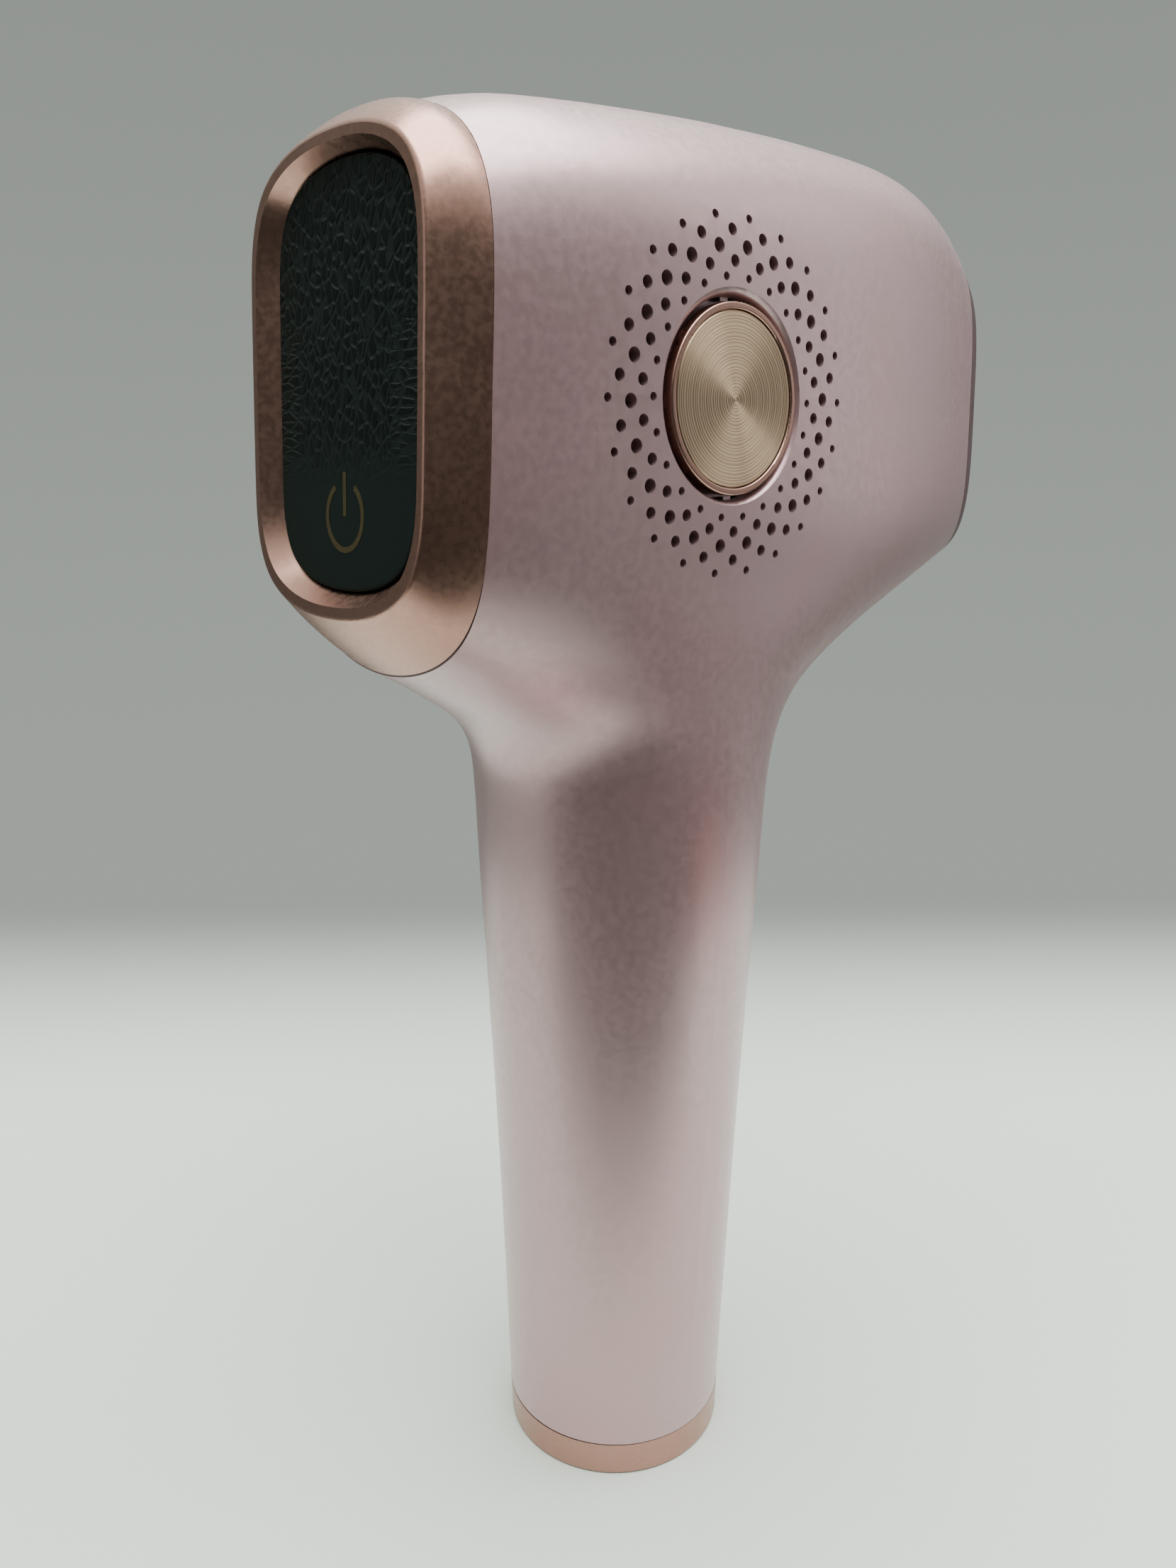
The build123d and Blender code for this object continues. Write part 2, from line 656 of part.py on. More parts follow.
with BuildPart() as contact_plate:
    with BuildSketch(flash_plane(-0.7)):
        with BuildLine():
            Spline(*oval_points(PLATE_HALF_X - 0.12, PLATE_HALF_Z - 0.12, 2.6, 3.4), periodic=True)
        make_face()
        RectangleRounded(GLASS_WIDTH + 0.3, GLASS_LENGTH + 0.3, 2.2, mode=Mode.SUBTRACT)
        with GridLocations(0, SENSOR_PITCH, 1, 2):
            SlotOverall(6.0, 2.4, mode=Mode.SUBTRACT)
    extrude(amount=-2.2)
    # step behind the plate that carries the glass and its seal
    with BuildSketch(flash_plane(-2.9)):
        RectangleRounded(GLASS_WIDTH + 4.0, GLASS_LENGTH + 4.0, 3.0)
        RectangleRounded(GLASS_WIDTH - 2.0, GLASS_LENGTH - 2.0, 1.5, mode=Mode.SUBTRACT)
    extrude(amount=-1.4)
    with BuildSketch(flash_plane(-2.9)):
        RectangleRounded(GLASS_WIDTH + 0.3, GLASS_LENGTH + 0.3, 2.2)
    extrude(amount=-0.7, mode=Mode.SUBTRACT)
contact_plate.part.label = "contact_plate"
export_step(contact_plate.part, "parts/contact_plate.step")

with BuildPart() as filter_glass:
    with BuildSketch(flash_plane(-0.9)):
        RectangleRounded(GLASS_WIDTH, GLASS_LENGTH, 2.0)
    extrude(amount=-2.0)
    chamfer(filter_glass.faces().sort_by(Axis.Y)[-1].edges(), length=0.25)
filter_glass.part.label = "filter_glass"
export_step(filter_glass.part, "parts/filter_glass.step")

with BuildPart() as window_gasket:
    with BuildSketch(flash_plane(-2.9)):
        RectangleRounded(GLASS_WIDTH, GLASS_LENGTH, 2.0)
        RectangleRounded(GLASS_WIDTH - 2.0, GLASS_LENGTH - 2.0, 1.5, mode=Mode.SUBTRACT)
    extrude(amount=-0.7)
window_gasket.part.label = "window_gasket"
export_step(window_gasket.part, "parts/window_gasket.step")

with BuildPart() as skin_sensors:
    with BuildSketch(flash_plane(-0.5)):
        with GridLocations(0, SENSOR_PITCH, 1, 2):
            SlotOverall(5.9, 2.3)
    extrude(amount=-3.0)
    fillet(skin_sensors.faces().sort_by(Axis.Y)[-2:].edges(), radius=0.3)
skin_sensors.part.label = "skin_sensors"
export_step(skin_sensors.part, "parts/skin_sensors.step")

with BuildPart() as lamp_holder:
    with BuildSketch(flash_plane(-4.4)):
        RectangleRounded(HOLDER_WIDTH, HOLDER_LENGTH, 2.5)
    extrude(amount=-HOLDER_DEPTH)
    with BuildSketch(flash_plane(-4.4)):
        RectangleRounded(HOLDER_WIDTH - 3.0, HOLDER_LENGTH - 3.0, 1.5)
    extrude(amount=-HOLDER_DEPTH + 1.5, mode=Mode.SUBTRACT)
    # the lamp's ends pass through the short walls
    with BuildSketch(LAMP_PLANE):
        Circle(LAMP_RADIUS + 0.3)
    extrude(amount=LAMP_LENGTH / 2, both=True, mode=Mode.SUBTRACT)
lamp_holder.part.label = "lamp_holder"
export_step(lamp_holder.part, "parts/lamp_holder.step")

# trough reflector: two straight walls and a bowed back round the lamp
with BuildPart() as reflector:
    for grow, mode in ((REFLECTOR_WALL, Mode.ADD), (0, Mode.SUBTRACT)):
        with BuildSketch(LAMP_PLANE):
            with BuildLine():
                Line((REFLECTOR_HALF + grow, KNEE_Y), (REFLECTOR_HALF + grow, MOUTH_Y))
                Line((REFLECTOR_HALF + grow, MOUTH_Y), (-REFLECTOR_HALF - grow, MOUTH_Y))
                Line((-REFLECTOR_HALF - grow, MOUTH_Y), (-REFLECTOR_HALF - grow, KNEE_Y))
                ThreePointArc(
                    (-REFLECTOR_HALF - grow, KNEE_Y),
                    (0, BACK_Y - grow),
                    (REFLECTOR_HALF + grow, KNEE_Y),
                )
            make_face()
        extrude(amount=HOLDER_LENGTH / 2 - 2.2, both=True, mode=mode)
reflector.part.label = "reflector"
export_step(reflector.part, "parts/reflector.step")

with BuildPart() as xenon_lamp:
    with BuildSketch(LAMP_PLANE):
        Circle(LAMP_RADIUS)
    extrude(amount=LAMP_LENGTH / 2 - 3.0, both=True)
xenon_lamp.part.label = "xenon_lamp"
export_step(xenon_lamp.part, "parts/xenon_lamp.step")

with BuildPart() as lamp_terminals:
    for side in (-1, 1):
        with BuildSketch(LAMP_PLANE.offset(side * (LAMP_LENGTH / 2 - 3.0))):
            Circle(LAMP_RADIUS + 0.1)
        extrude(amount=side * 2.6)
        with BuildSketch(LAMP_PLANE.offset(side * (LAMP_LENGTH / 2 - 0.4))):
            Circle(0.7)
        extrude(amount=side * 1.6)
lamp_terminals.part.label = "lamp_terminals"
export_step(lamp_terminals.part, "parts/lamp_terminals.step")

with BuildPart() as heat_sink:
    sink_face = -4.4 - HOLDER_DEPTH
    with BuildSketch(flash_plane(sink_face)):
        Rectangle(HOLDER_WIDTH - 2.0, HOLDER_LENGTH - 6.0)
    extrude(amount=-2.0)
    with BuildSketch(flash_plane(sink_face - 2.0)):
        with GridLocations(3.0, 0, 7, 1):
            Rectangle(1.0, HOLDER_LENGTH - 6.0)
    extrude(amount=-6.0)
heat_sink.part.label = "heat_sink"
export_step(heat_sink.part, "parts/heat_sink.step")

with BuildPart() as trigger_coil:
    with BuildSketch(Plane.XY.offset(HEAD_Z - 6.0)):
        with Locations((14.2, 42.0)):
            Circle(2.0)
    extrude(amount=12.0)
    with BuildSketch(Plane.XY.offset(HEAD_Z - 4.5)):
        with Locations((14.2, 42.0)):
            Circle(2.5)
    extrude(amount=9.0)
trigger_coil.part.label = "trigger_coil"
export_step(trigger_coil.part, "parts/trigger_coil.step")


# ---------------------------------------------------------------- handle electronics
with BuildPart() as main_board:
    with BuildSketch(Plane.XZ.offset(-BOARD_Y)):
        with Locations((0, 70.0)):
            Rectangle(19.0, 96.0)
    extrude(amount=1.6)
main_board.part.label = "main_board"
export_step(main_board.part, "parts/main_board.step")

with BuildPart() as main_capacitor:
    with BuildSketch(Plane.XY.offset(CAPACITOR_Z)):
        with Locations((0, CAPACITOR_Y)):
            Circle(CAPACITOR_RADIUS)
    extrude(amount=50.0)
    fillet(main_capacitor.edges().filter_by(GeomType.CIRCLE), radius=1.2)
main_capacitor.part.label = "main_capacitor"
export_step(main_capacitor.part, "parts/main_capacitor.step")

with BuildPart() as capacitor_clip:
    with BuildSketch(Plane.XY.offset(CAPACITOR_Z + 20.0)):
        with Locations((0, CAPACITOR_Y)):
            Circle(CAPACITOR_RADIUS + 1.2)
            Circle(CAPACITOR_RADIUS, mode=Mode.SUBTRACT)
        with Locations((0, CAPACITOR_Y + CAPACITOR_RADIUS)):
            Rectangle(8.0, 8.0, mode=Mode.SUBTRACT)
    extrude(amount=8.0)
capacitor_clip.part.label = "capacitor_clip"
export_step(capacitor_clip.part, "parts/capacitor_clip.step")

with BuildPart() as charging_transformer:
    with BuildSketch(Plane.XZ.offset(-BOARD_Y)):
        with Locations((0, 92.0)):
            Rectangle(12.0, 14.0)
    extrude(amount=-9.0)
    with BuildSketch(Plane.XZ.offset(-BOARD_Y - 1.5)):
        with Locations((0, 92.0)):
            RectangleRounded(15.0, 9.0, 2.0)
    extrude(amount=-6.0)
charging_transformer.part.label = "charging_transformer"
export_step(charging_transformer.part, "parts/charging_transformer.step")

with BuildPart() as power_transistor:
    with BuildSketch(Plane.XZ.offset(-BOARD_Y)):
        with Locations((0, 110.0)):
            Rectangle(10.0, 9.0)
    extrude(amount=-4.4)
power_transistor.part.label = "power_transistor"
export_step(power_transistor.part, "parts/power_transistor.step")


# ---------------------------------------------------------------- flash button
with BuildPart() as flash_button:
    with BuildSketch(Plane.XZ.offset(-BUTTON_FACE_Y)):
        with Locations((0, BUTTON_Z)):
            SlotOverall(BUTTON_LENGTH - 0.5, BUTTON_WIDTH - 0.5, rotation=90)
    extrude(amount=BUTTON_FACE_Y - BUTTON_BACK_Y)
    fillet(flash_button.faces().sort_by(Axis.Y)[-1].edges(), radius=0.8)
    with BuildSketch(Plane.XZ.offset(-BUTTON_BACK_Y - 1.0)):
        with Locations((0, BUTTON_Z)):
            SlotOverall(BUTTON_LENGTH + 1.6, BUTTON_WIDTH + 1.6, rotation=90)
    extrude(amount=1.0)
    with BuildSketch(Plane.XZ.offset(-BUTTON_BACK_Y)):
        with Locations((0, BUTTON_Z)):
            Circle(1.8)
    extrude(amount=BUTTON_BACK_Y - PLUNGER_TOP_Y)
flash_button.part.label = "flash_button"
export_step(flash_button.part, "parts/flash_button.step")

with BuildPart() as switch_plunger:
    with BuildSketch(Plane.XZ.offset(-PLUNGER_TOP_Y)):
        with Locations((0, BUTTON_Z)):
            Circle(1.5)
    extrude(amount=2.6)
switch_plunger.part.label = "switch_plunger"
export_step(switch_plunger.part, "parts/switch_plunger.step")

with BuildPart() as trigger_switch:
    with BuildSketch(Plane.XZ.offset(-SWITCH_FACE_Y)):
        with Locations((0, BUTTON_Z)):
            Rectangle(6.0, 6.0)
    extrude(amount=SWITCH_FACE_Y - SWITCH_BASE_Y)
    with BuildSketch(Plane.XZ.offset(-SWITCH_FACE_Y)):
        with Locations((0, BUTTON_Z)):
            Circle(1.55)
    extrude(amount=2.8, mode=Mode.SUBTRACT)
trigger_switch.part.label = "trigger_switch"
export_step(trigger_switch.part, "parts/trigger_switch.step")

with BuildPart() as button_board:
    with BuildSketch(Plane.XZ.offset(-SWITCH_BASE_Y)):
        with Locations((0, BUTTON_Z)):
            Rectangle(13.0, 24.0)
    extrude(amount=1.2)
button_board.part.label = "button_board"
export_step(button_board.part, "parts/button_board.step")

spring_height = BUTTON_BACK_Y - SWITCH_BASE_Y - 2 * SPRING_WIRE - 0.1
spring_path = Helix(
    pitch=spring_height / 4,
    height=spring_height,
    radius=4.9,
    center=(0, SWITCH_BASE_Y + SPRING_WIRE + 0.05, BUTTON_Z),
    direction=(0, 1, 0),
)
with BuildPart() as button_spring:
    with BuildSketch(Plane(origin=spring_path @ 0, z_dir=spring_path % 0)):
        Circle(SPRING_WIRE)
    sweep(path=spring_path, is_frenet=True)
button_spring.part.label = "button_spring"
export_step(button_spring.part, "parts/button_spring.step")


# ---------------------------------------------------------------- base
with BuildPart() as base_cap:
    with BuildSketch(Plane.XY):
        Circle(CAP_RADIUS - 0.15)
    with BuildSketch(Plane.XY.offset(CAP_HEIGHT - 0.15)):
        Circle(CAP_RADIUS)
    loft()
    fillet(base_cap.faces().sort_by(Axis.Z)[0].edges(), radius=0.5)
    with BuildSketch(Plane.XY.offset(2.4)):
        Circle(CAP_RADIUS - 2.2)
    extrude(amount=CAP_HEIGHT, mode=Mode.SUBTRACT)
    # spigot that plugs into the handle
    with BuildSketch(Plane.XY.offset(2.4)):
        Circle(CAP_RADIUS - 2.5)
        Circle(CAP_RADIUS - 3.8, mode=Mode.SUBTRACT)
    extrude(amount=BOSS_Z - 2.6)
    # posts for the two screws, and the socket's hole
    with BuildSketch(Plane.XY.offset(2.0)):
        with Locations((-CAP_SCREW_X, 0), (CAP_SCREW_X, 0)):
            Circle(2.6)
        with Locations((0, 0)):
            Circle(JACK_RADIUS + 1.2)
    extrude(amount=BOSS_Z - 2.2)
    with Locations((-CAP_SCREW_X, 0, 0), (CAP_SCREW_X, 0, 0)):
        with Locations(Rotation(180, 0, 0)):
            CounterBoreHole(radius=1.3, counter_bore_radius=2.2, counter_bore_depth=1.6, depth=12)
    with BuildSketch(Plane.XY):
        Circle(JACK_RADIUS)
    extrude(amount=12, mode=Mode.SUBTRACT)
base_cap.part.label = "base_cap"
export_step(base_cap.part, "parts/base_cap.step")

with BuildPart() as cap_screws:
    with BuildSketch(Plane.XY.offset(0.3)):
        with Locations((-CAP_SCREW_X, 0), (CAP_SCREW_X, 0)):
            Circle(2.0)
    extrude(amount=1.3)
    with BuildSketch(Plane.XY.offset(1.6)):
        with Locations((-CAP_SCREW_X, 0), (CAP_SCREW_X, 0)):
            Circle(1.1)
    extrude(amount=14.0)
    with BuildSketch(Plane.XY.offset(0.3)):
        with Locations((-CAP_SCREW_X, 0), (CAP_SCREW_X, 0)):
            Rectangle(2.6, 0.55)
            Rectangle(0.55, 2.6)
    extrude(amount=0.8, mode=Mode.SUBTRACT)
cap_screws.part.label = "cap_screws"
export_step(cap_screws.part, "parts/cap_screws.step")

with BuildPart() as dc_jack:
    with BuildSketch(Plane.XY.offset(0.4)):
        Circle(JACK_RADIUS)
        Circle(JACK_BORE, mode=Mode.SUBTRACT)
    extrude(amount=JACK_DEPTH)
    with BuildSketch(Plane.XY.offset(0.4 + JACK_DEPTH)):
        Circle(JACK_RADIUS)
        Circle(JACK_PIN, mode=Mode.SUBTRACT)
    extrude(amount=2.0)
dc_jack.part.label = "dc_jack"
export_step(dc_jack.part, "parts/dc_jack.step")

with BuildPart() as jack_pin:
    with BuildSketch(Plane.XY.offset(2.0)):
        Circle(JACK_PIN)
    extrude(amount=JACK_DEPTH + 2.4)
jack_pin.part.label = "jack_pin"
export_step(jack_pin.part, "parts/jack_pin.step")
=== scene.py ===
"""Looks of the flash hair remover: pearl-pink shell, rose-gold trim, dark display and a spun side disc."""

import math

import bpy
from mathutils import Matrix, Vector


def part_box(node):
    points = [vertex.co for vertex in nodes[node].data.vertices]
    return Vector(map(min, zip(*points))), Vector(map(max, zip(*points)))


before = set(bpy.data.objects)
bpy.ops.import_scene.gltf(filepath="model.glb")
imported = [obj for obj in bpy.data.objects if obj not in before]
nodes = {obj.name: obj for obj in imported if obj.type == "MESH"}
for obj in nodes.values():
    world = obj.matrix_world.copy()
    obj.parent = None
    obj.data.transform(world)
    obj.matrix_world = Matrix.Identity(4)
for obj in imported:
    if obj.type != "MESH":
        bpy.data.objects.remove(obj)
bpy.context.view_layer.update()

# ------------------------------------------------------------------ places taken from the frame
disc_low, disc_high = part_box("disc_insert_right")
VENT_AXIS = (disc_low + disc_high) / 2          # centre of the right-hand disc
DISC_RADIUS = (disc_high.z - disc_low.z) / 2
panel_low, panel_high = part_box("display_window")
shell_low, shell_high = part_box("main_housing")
MM = 0.001

# ------------------------------------------------------------------ camera, as the object was seen
CAMERA_PLACE = Vector((127.5, -118.9, 151.4)) * MM
CAMERA_HEADING = math.radians(48.162)           # turned left from looking along +Y
CAMERA_TILT = math.radians(14.252)              # looking down
CAMERA_ROLL = math.radians(-0.444)
CAMERA_LENS = 27.81
CAMERA_SENSOR = 36.0

# ------------------------------------------------------------------ colours (linear)
PINK = (0.50, 0.335, 0.345, 1)
PINK_SHIFT = (0.50, 0.31, 0.325, 1)
# pale pink of the flakes, also used as a painted sheen where the surface turns from view
PINK_PALE_FLAKE_AND_SHEEN = (0.58, 0.41, 0.43, 1)
# painted shade and rosy reflection, laid on under the neck and on the handle
PINK_ROSE_SHADE = (0.42, 0.16, 0.175, 1)
ROSE_GOLD = (0.46, 0.268, 0.218, 1)
ROSE_GOLD_DEEP = (0.42, 0.235, 0.188, 1)
CHAMPAGNE = (0.66, 0.48, 0.32, 1)
PANEL_BLACK = (0.0025, 0.0055, 0.0050, 1)
PANEL_GREEN = (0.009, 0.016, 0.014, 1)
WALL_GREY = (0.335, 0.365, 0.335, 1)
FLOOR_PALE = (0.76, 0.81, 0.75, 1)
DARK_SIDE = (0.90, -0.43, 0.0)                  # where the room is dark


# ------------------------------------------------------------------ node helpers
class Look:
    """A procedural material: a Principled shader and short ways to feed it."""

    def __init__(self, name, **values):
        self.material = bpy.data.materials.new(name)
        self.material.use_nodes = True
        self.tree = self.material.node_tree
        self.shader = self.tree.nodes["Principled BSDF"]
        self.place = self.add("ShaderNodeTexCoord").outputs["Object"]
        self.set(**values)

    def add(self, kind, **settings):
        node = self.tree.nodes.new(kind)
        for key, value in settings.items():
            setattr(node, key, value)
        return node

    def set(self, **values):
        for key, value in values.items():
            self.shader.inputs[key.replace("_", " ")].default_value = value

    def feed(self, socket, value):
        """Link a value to a socket, or set it when it's a plain number, colour or vector."""
        if isinstance(value, bpy.types.NodeSocket):
            self.tree.links.new(value, socket)
        else:
            socket.default_value = value

    def math(self, operation, *values):
        node = self.add("ShaderNodeMath", operation=operation)
        for socket, value in zip(node.inputs, values):
            self.feed(socket, value)
        return node.outputs[0]

    def vector(self, operation, *values, scale=1.0):
        node = self.add("ShaderNodeVectorMath", operation=operation)
        for socket, value in zip(node.inputs, values):
            self.feed(socket, value)
        if operation == "SCALE":
            node.inputs["Scale"].default_value = scale
        return node.outputs["Value" if operation in ("LENGTH", "DISTANCE", "DOT_PRODUCT") else "Vector"]

    def split(self, vector):
        node = self.add("ShaderNodeSeparateXYZ")
        self.feed(node.inputs[0], vector)
        return node.outputs

    def scaled(self, x, y, z):
        """The surface's place, stretched along each axis."""
        return self.vector("MULTIPLY", self.place, (x, y, z))

    def noise(self, scale, detail=3.0, rough=0.5, at=None):
        node = self.add("ShaderNodeTexNoise")
        self.feed(node.inputs["Vector"], at or self.place)
        node.inputs["Scale"].default_value = scale
        node.inputs["Detail"].default_value = detail
        node.inputs["Roughness"].default_value = rough
        return node.outputs["Fac"]

    def noise_colour(self, scale):
        node = self.add("ShaderNodeTexNoise")
        self.feed(node.inputs["Vector"], self.place)
        node.inputs["Scale"].default_value = scale
        return node.outputs["Color"]

    def cells(self, at):
        """0 on the borders between irregular cells, rising to 1 inside them."""
        node = self.add("ShaderNodeTexVoronoi", feature="DISTANCE_TO_EDGE")
        self.feed(node.inputs["Vector"], at)
        node.inputs["Scale"].default_value = 1.0
        return self.span(node.outputs["Distance"], 0.03, 0.2)

    def span(self, value, low, high, to_low=0.0, to_high=1.0, smooth=True):
        node = self.add("ShaderNodeMapRange")
        node.interpolation_type = "SMOOTHSTEP" if smooth else "LINEAR"
        for socket, number in zip(node.inputs, (value, low, high, to_low, to_high)):
            self.feed(socket, number)
        return node.outputs["Result"]

    def mix(self, factor, a, b):
        node = self.add("ShaderNodeMix", data_type="RGBA")
        self.feed(node.inputs["Factor"], factor)
        self.feed(node.inputs["A"], a)
        self.feed(node.inputs["B"], b)
        return node.outputs["Result"]

    def spot(self, centre, radii):
        """1 at a soft patch's centre, falling to 0 at its edge."""
        away = self.vector("SUBTRACT", self.place, centre)
        away = self.vector("DIVIDE", away, radii)
        return self.span(self.vector("LENGTH", away), 0.0, 1.0, 1.0, 0.0)

    def bump(self, height, distance, strength=1.0, under=None):
        node = self.add("ShaderNodeBump")
        node.inputs["Strength"].default_value = strength
        node.inputs["Distance"].default_value = distance
        self.feed(node.inputs["Height"], height)
        if under is not None:
            self.feed(node.inputs["Normal"], under)
        return node.outputs["Normal"]

    def colour(self, value):
        self.feed(self.shader.inputs["Base Color"], value)

    def rough(self, value):
        self.feed(self.shader.inputs["Roughness"], value)

    def normal(self, value):
        self.feed(self.shader.inputs["Normal"], value)


# ------------------------------------------------------------------ materials of the outside
def pearl_paint():
    """Satin pearl paint: fine flakes, slow shifts between dusty pink shades, a soft clear coat; painted shade and rosy
    reflection in patches under the neck and on the handle, and a painted pale sheen where the surface turns from view.
    """
    look = Look("pearl_pink", Metallic=0.66, Coat_Weight=0.35, Coat_Roughness=0.22)
    look.set(Sheen_Weight=0.12, Sheen_Roughness=0.35, Sheen_Tint=(1.0, 0.86, 0.88, 1))
    drift = look.noise(22.0, 2.0)
    flakes = look.noise(5200.0, 1.0)
    painted_sheen = look.add("ShaderNodeLayerWeight")
    painted_sheen.inputs["Blend"].default_value = 0.35
    # painted shade and rosy reflection: two soft rose patches, under the neck and on the handle
    shade_under_neck = look.spot((0.018, -0.027, 0.124), (0.012, 0.013, 0.009))
    shade_on_handle = look.spot((0.0205, -0.002, 0.100), (0.020, 0.008, 0.020))
    base = look.mix(look.span(drift, 0.42, 0.66), PINK, PINK_SHIFT)
    base = look.mix(look.math("MULTIPLY", look.math("MAXIMUM", shade_under_neck, shade_on_handle), 0.55), base, PINK_ROSE_SHADE)
    # painted sheen: the colour turns paler where the surface turns away from view
    base = look.mix(look.math("MULTIPLY", painted_sheen.outputs["Facing"], 0.4), base, PINK_PALE_FLAKE_AND_SHEEN)
    base = look.mix(look.span(flakes, 0.55, 0.75, 0.0, 0.35), base, PINK_PALE_FLAKE_AND_SHEEN)
    look.colour(base)
    look.rough(look.span(look.noise(900.0, 2.0), 0.3, 0.7, 0.31, 0.39))
    look.normal(look.bump(flakes, 0.00002, 0.25))
    return look.material


def rose_metal(name="rose_gold", rough=0.27):
    """Satin rose-gold plating: a fine blasted grain and a faint drift of tint."""
    look = Look(name, Metallic=1.0)
    look.colour(look.mix(look.span(look.noise(45.0, 2.0), 0.35, 0.7), ROSE_GOLD, ROSE_GOLD_DEEP))
    look.rough(look.span(look.noise(1200.0, 2.0), 0.3, 0.7, rough, rough + 0.07))
    look.normal(look.bump(look.noise(2200.0, 0.0), 0.000003, 0.2))
    return look.material


def panel_black():
    """Greenish-black display face: an embossed skin of small long cells, fading to plain at the foot."""
    look = Look("display_black", Specular_IOR_Level=0.12)
    x, _, z = look.split(look.place)
    warp = look.vector("SCALE", look.vector("SUBTRACT", look.noise_colour(420.0), (0.5, 0.5, 0.5)), scale=0.7 * MM)
    bent = look.vector("ADD", look.place, warp)
    upright = look.cells(look.vector("MULTIPLY", bent, (880.0, 0.0, 520.0)))
    sideways = look.cells(look.vector("MULTIPLY", bent, (330.0, 0.0, 1050.0)))
    # near the sides at mid height the cells lie sideways
    middle = (panel_low.z + panel_high.z) / 2 - 3 * MM
    side = look.span(look.math("ABSOLUTE", x), 8.5 * MM, 11.5 * MM)
    level = look.span(look.math("ABSOLUTE", look.math("SUBTRACT", z, middle)), 5 * MM, 12 * MM, 1.0, 0.0)
    lies = look.math("MULTIPLY", side, level)
    raised = look.math("ADD", look.math("MULTIPLY", upright, look.math("SUBTRACT", 1.0, lies)),
                       look.math("MULTIPLY", sideways, lies))
    fade = look.span(z, panel_low.z + 11 * MM, panel_low.z + 20 * MM)
    raised = look.math("MULTIPLY", raised, fade)
    look.colour(look.mix(look.math("MULTIPLY", raised, 0.8), PANEL_GREEN, PANEL_BLACK))
    look.rough(look.span(raised, 0.0, 1.0, 0.5, 0.36))
    fine = look.bump(look.noise(3800.0, 2.0), 0.00001, 0.2)
    look.normal(look.bump(raised, 0.00020, 0.7, fine))
    return look.material


def gold_print():
    """Dull gold print with a slightly broken surface."""
    look = Look("gold_print", Metallic=0.7, Roughness=0.42)
    look.colour(look.mix(look.noise(1500.0, 3.0), (0.10, 0.078, 0.035, 1), (0.15, 0.115, 0.055, 1)))
    look.normal(look.bump(look.noise(4000.0, 2.0), 0.00001, 0.3))
    return look.material


def spun_metal():
    """Turned champagne metal: concentric grooves, and light that fans out across them."""
    look = Look("spun_champagne", Metallic=1.0, Anisotropic=0.93)
    away = look.vector("SUBTRACT", look.place, VENT_AXIS)
    _, y, z = look.split(away)
    radius = look.math("SQRT", look.math("ADD", look.math("MULTIPLY", y, y), look.math("MULTIPLY", z, z)))
    # the lathe's feed varies a little from groove to groove
    feed = look.math("ADD", look.math("MULTIPLY", radius, 2 * math.pi / (0.40 * MM)),
                     look.math("MULTIPLY", look.math("SINE", look.math("MULTIPLY", radius, 5200.0)), 0.9))
    groove = look.math("SINE", feed)
    tint = look.math("SINE", look.math("MULTIPLY", radius, 2700.0))
    look.colour(look.mix(look.span(tint, -1.0, 1.0, 0.0, 0.3), CHAMPAGNE, (0.56, 0.38, 0.26, 1)))
    look.rough(look.span(groove, -1.0, 1.0, 0.30, 0.40))
    look.normal(look.bump(groove, 0.000010, 1.0))
    outward = look.vector("MULTIPLY", away, (0.0, 1.0, 1.0))
    look.feed(look.shader.inputs["Tangent"], look.vector("NORMALIZE", outward))
    return look.material


def flash_rim():
    """Dark plum gloss of the flash end's frame."""
    look = Look("plum_gloss", Metallic=0.25, Coat_Weight=0.4, Coat_Roughness=0.15)
    look.colour(look.mix(look.noise(90.0, 3.0), (0.115, 0.065, 0.075, 1), (0.16, 0.09, 0.10, 1)))
    look.rough(look.span(look.noise(700.0, 3.0), 0.3, 0.7, 0.26, 0.36))
    look.normal(look.bump(look.noise(5000.0, 2.0), 0.00001, 0.25))
    return look.material


# ------------------------------------------------------------------ materials of the inside
def moulded(name, colour, rough=0.5, metallic=0.0):
    """Moulded or cast stuff: a fine spark-eroded grain and a faint drift of tint."""
    look = Look(name, Metallic=metallic)
    darker = tuple(c * 0.78 for c in colour[:3]) + (1,)
    look.colour(look.mix(look.noise(120.0, 4.0), darker, colour))
    look.rough(look.span(look.noise(1400.0, 3.0), 0.3, 0.7, rough - 0.06, rough + 0.08))
    look.normal(look.bump(look.noise(3000.0, 3.0), 0.00003, 0.35))
    return look.material


def steel(name="steel", colour=(0.55, 0.55, 0.56, 1)):
    """Drawn or turned bright metal with fine lines along one way."""
    look = Look(name, Metallic=1.0)
    lines = look.noise(1.0, 3.0, at=look.scaled(9000.0, 9000.0, 300.0))
    look.colour(look.mix(lines, tuple(c * 0.8 for c in colour[:3]) + (1,), colour))
    look.rough(look.span(lines, 0.3, 0.7, 0.24, 0.4))
    look.normal(look.bump(lines, 0.000008, 0.5))
    return look.material


def woven_mesh():
    """Fine dark woven mesh behind the vents; the openings between threads are painted dark as shade."""
    look = Look("vent_mesh", Metallic=0.6)
    _, y, z = look.split(look.place)
    pitch = 2 * math.pi / (0.42 * MM)
    weft = look.math("SINE", look.math("MULTIPLY", y, pitch))
    warp = look.math("SINE", look.math("MULTIPLY", z, pitch))
    weave = look.math("MAXIMUM", weft, warp)
    # painted shade: the openings between threads are dark, the threads lighter
    look.colour(look.mix(look.span(weave, 0.2, 0.9), (0.012, 0.010, 0.011, 1), (0.16, 0.14, 0.145, 1)))
    look.rough(0.45)
    look.normal(look.bump(weave, 0.00012, 1.0))
    return look.material


